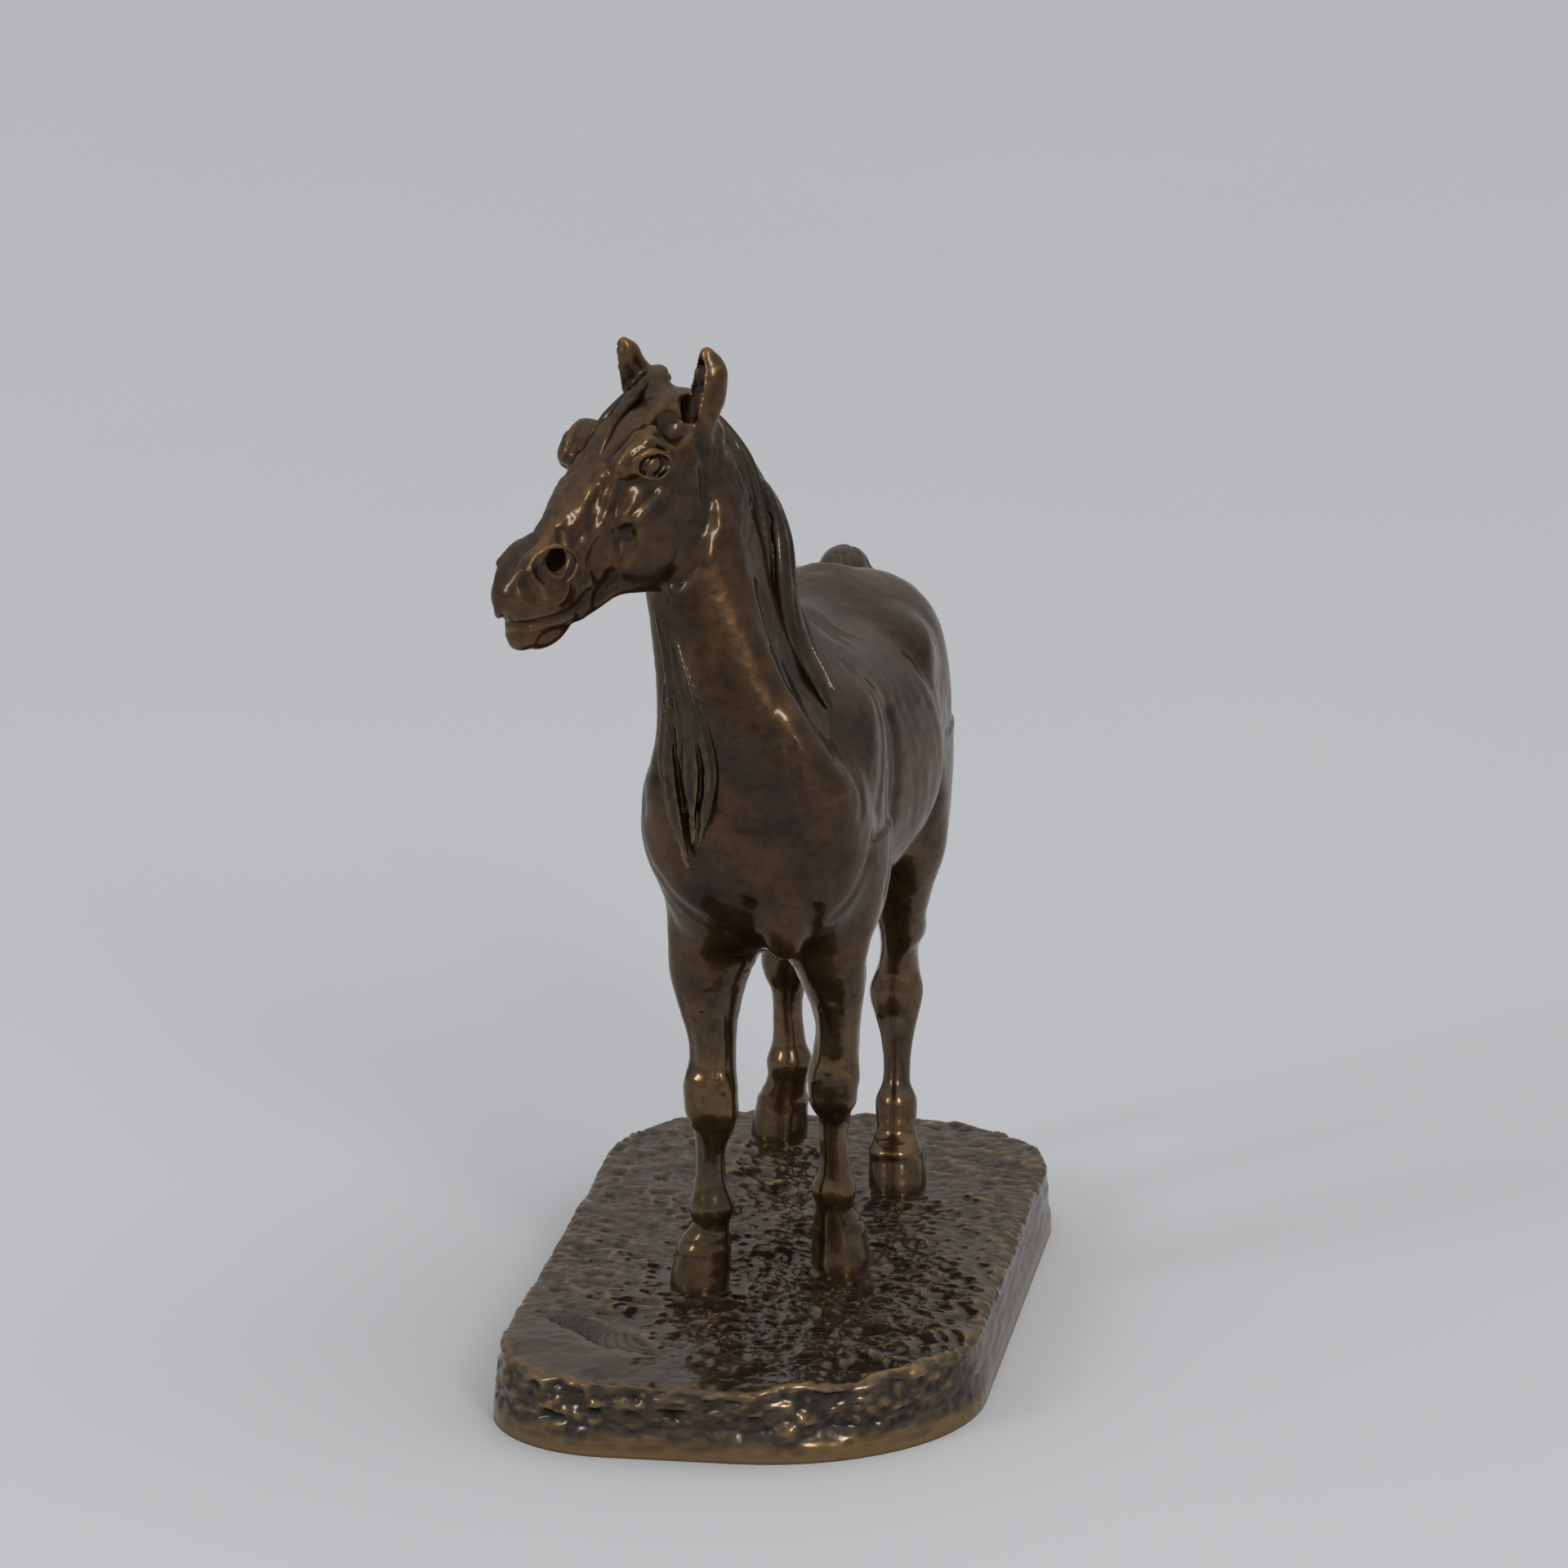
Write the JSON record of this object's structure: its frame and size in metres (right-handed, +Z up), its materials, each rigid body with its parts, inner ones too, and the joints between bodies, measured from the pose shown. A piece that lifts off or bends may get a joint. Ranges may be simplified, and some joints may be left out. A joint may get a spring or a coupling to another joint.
{
  "type": "horse statuette",
  "caption": "Bronze statuette of a standing horse with its head turned aside, bolted to a rough rounded terrace base.",
  "frame": {"origin": "centre of the bounding box in plan, on the plane the base rests on", "axes": "the horse faces -Y with its head turned towards -X, its left side is +X, and +Z is up"},
  "size_m": [0.092, 0.1774, 0.2044],
  "materials": {
    "horse_bronze": "chestnut-brown patinated and waxed cast bronze",
    "base_bronze": "near-black patinated cast bronze with a rubbed rim",
    "brass": "turned brass, dull",
    "steel": "plain steel washer"
  },
  "bodies": {
    "root": {"base_terrace": "base_bronze", "trunk": "horse_bronze", "neck_and_head": "horse_bronze", "right_foreleg": "horse_bronze", "left_foreleg": "horse_bronze", "right_hindleg": "horse_bronze", "left_hindleg": "horse_bronze", "tail": "horse_bronze", "mane_left": "horse_bronze", "mane_right": "horse_bronze", "forelock": "horse_bronze", "belly_core_plug": "horse_bronze", "rump_core_plug": "horse_bronze", "left_neck_pin": "brass", "right_neck_pin": "brass", "tail_pin": "brass", "right_foreleg_pin": "brass", "left_foreleg_pin": "brass", "right_hindleg_pin": "brass", "left_hindleg_pin": "brass", "right_forehoof_stud": "brass", "left_forehoof_stud": "brass", "right_hindhoof_stud": "brass", "left_hindhoof_stud": "brass", "right_forehoof_nut": "brass", "left_forehoof_nut": "brass", "right_hindhoof_nut": "brass", "left_hindhoof_nut": "brass", "right_forehoof_washer": "steel", "left_forehoof_washer": "steel", "right_hindhoof_washer": "steel", "left_hindhoof_washer": "steel"}
  },
  "joints": []
}
